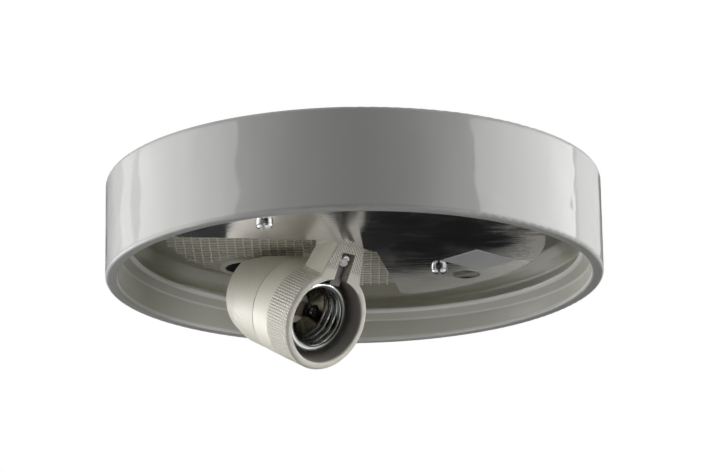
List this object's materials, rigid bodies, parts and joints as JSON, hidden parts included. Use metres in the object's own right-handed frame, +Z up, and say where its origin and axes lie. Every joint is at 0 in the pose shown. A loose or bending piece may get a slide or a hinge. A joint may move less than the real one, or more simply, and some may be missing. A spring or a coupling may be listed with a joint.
{
  "type": "ceiling lamp base with angled lampholder",
  "caption": "Round white porcelain ceiling base with an angled porcelain screw lampholder, a bright reflector plate and an inner round thread that takes a glass.",
  "frame": {"origin": "centre of the ceiling face, midway between the two ceiling screws", "axes": "+Z up towards the ceiling; the lampholder lies in the vertical plane at azimuth -45 degrees and its mouth points to azimuth -45 and 28 degrees downwards; the ceiling screws lie at azimuths 45 and 225"},
  "size_m": [0.205, 0.205, 0.0736],
  "materials": {
    "glazed_porcelain": "white glazed porcelain",
    "holder_porcelain": "cream glazed porcelain",
    "cap_porcelain": "cream glazed porcelain",
    "bright_aluminium": "mirror-bright rolled",
    "label_foil": "bare metallised foil",
    "zinc_steel": "bright zinc-plated",
    "nickel_brass": "nickel-plated brass",
    "brass": "plain",
    "bronze": "phosphor bronze spring strip"
  },
  "bodies": {
    "root": {"base": "glazed_porcelain", "reflector": "bright_aluminium", "label": "label_foil", "reflector_screws": "zinc_steel", "reflector_washers": "zinc_steel", "reflector_nuts": "zinc_steel", "holder_body": "holder_porcelain", "holder_screws": "zinc_steel", "holder_washers": "zinc_steel", "holder_nuts": "zinc_steel", "holder_cap": "cap_porcelain", "cap_insert": "brass", "cap_screw": "zinc_steel", "screw_shell": "nickel_brass", "shell_strap": "nickel_brass", "strap_screw": "nickel_brass", "strap_nut": "nickel_brass", "shell_screws": "nickel_brass", "centre_contact": "bronze", "contact_screw": "nickel_brass", "live_terminal": "brass", "neutral_terminal": "brass", "terminal_screws": "nickel_brass"}
  },
  "joints": []
}
